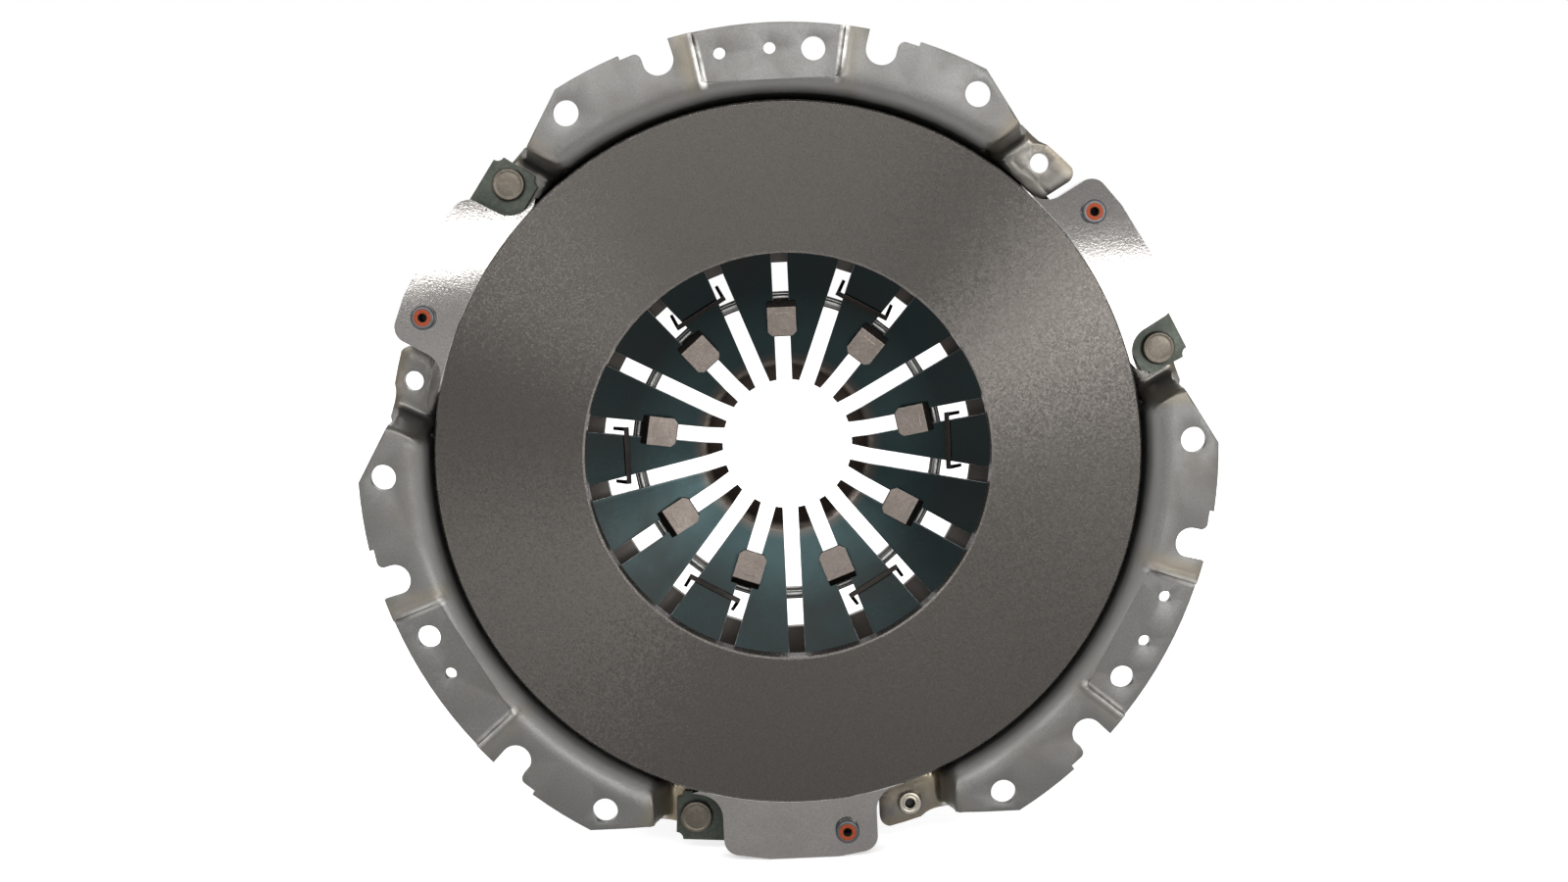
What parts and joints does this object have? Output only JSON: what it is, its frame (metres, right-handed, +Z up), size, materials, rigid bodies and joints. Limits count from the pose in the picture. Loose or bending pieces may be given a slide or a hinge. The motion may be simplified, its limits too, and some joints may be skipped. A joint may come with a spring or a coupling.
{
  "type": "clutch pressure plate",
  "caption": "Diaphragm clutch cover assembly: slotted flange cover, ground iron pressure ring on leaf straps, fingered spring held by flat-headed studs.",
  "frame": {"origin": "on the clutch axis, in the plane of the cover's mounting flange that bolts to the flywheel", "axes": "-Y points out of the friction face towards the flywheel, +Y towards the gearbox, +Z up as the part stands in the picture with one lug lowest"},
  "size_m": [0.375, 0.0634, 0.3685],
  "materials": {
    "phosphated_steel": "grey phosphated pressing with drawn bends",
    "ground_iron": "cast iron, face ground in circles",
    "blued_spring_steel": "hardened and tempered, dark blue-green scale",
    "wire_steel": "drawn wire",
    "stud_steel": "sheared plate, satin",
    "clip_steel": "black oxide",
    "strap_steel": "tempered spring strip, dark olive",
    "rivet_steel": "cold headed, dark",
    "painted_rivet": "steel with an orange-red inspection dab",
    "bright_steel": "turned, light"
  },
  "bodies": {
    "cover": {"clutch_cover": "phosphated_steel", "diaphragm_spring": "blued_spring_steel", "pivot_wire_ring": "wire_steel", "spring_stud_1": "stud_steel", "spring_stud_2": "stud_steel", "spring_stud_3": "stud_steel", "spring_stud_4": "stud_steel", "spring_stud_5": "stud_steel", "spring_stud_6": "stud_steel", "spring_stud_7": "stud_steel", "spring_stud_8": "stud_steel", "spring_stud_9": "stud_steel", "ring_clip_1": "clip_steel", "ring_clip_2": "clip_steel", "ring_clip_3": "clip_steel", "ring_clip_4": "clip_steel", "ring_clip_5": "clip_steel", "ring_clip_6": "clip_steel", "drive_strap_right": "strap_steel", "drive_strap_left": "strap_steel", "drive_strap_bottom": "strap_steel", "strap_rivet_right": "rivet_steel", "strap_rivet_left": "rivet_steel", "strap_rivet_bottom": "rivet_steel", "balance_rivet": "bright_steel"},
    "plate": {"pressure_plate": "ground_iron", "lug_rivet_right": "painted_rivet", "lug_rivet_left": "painted_rivet", "lug_rivet_bottom": "painted_rivet"}
  },
  "joints": [
    {"name": "plate_lift", "type": "slide", "parent": "cover", "child": "plate", "axis": [0, 1, 0], "range_m": [0, 0.008], "stiffness_N_per_m": 8000, "springref_m": -0.001, "deforming": ["diaphragm_spring", "drive_strap_right", "drive_strap_left", "drive_strap_bottom"]}
  ]
}
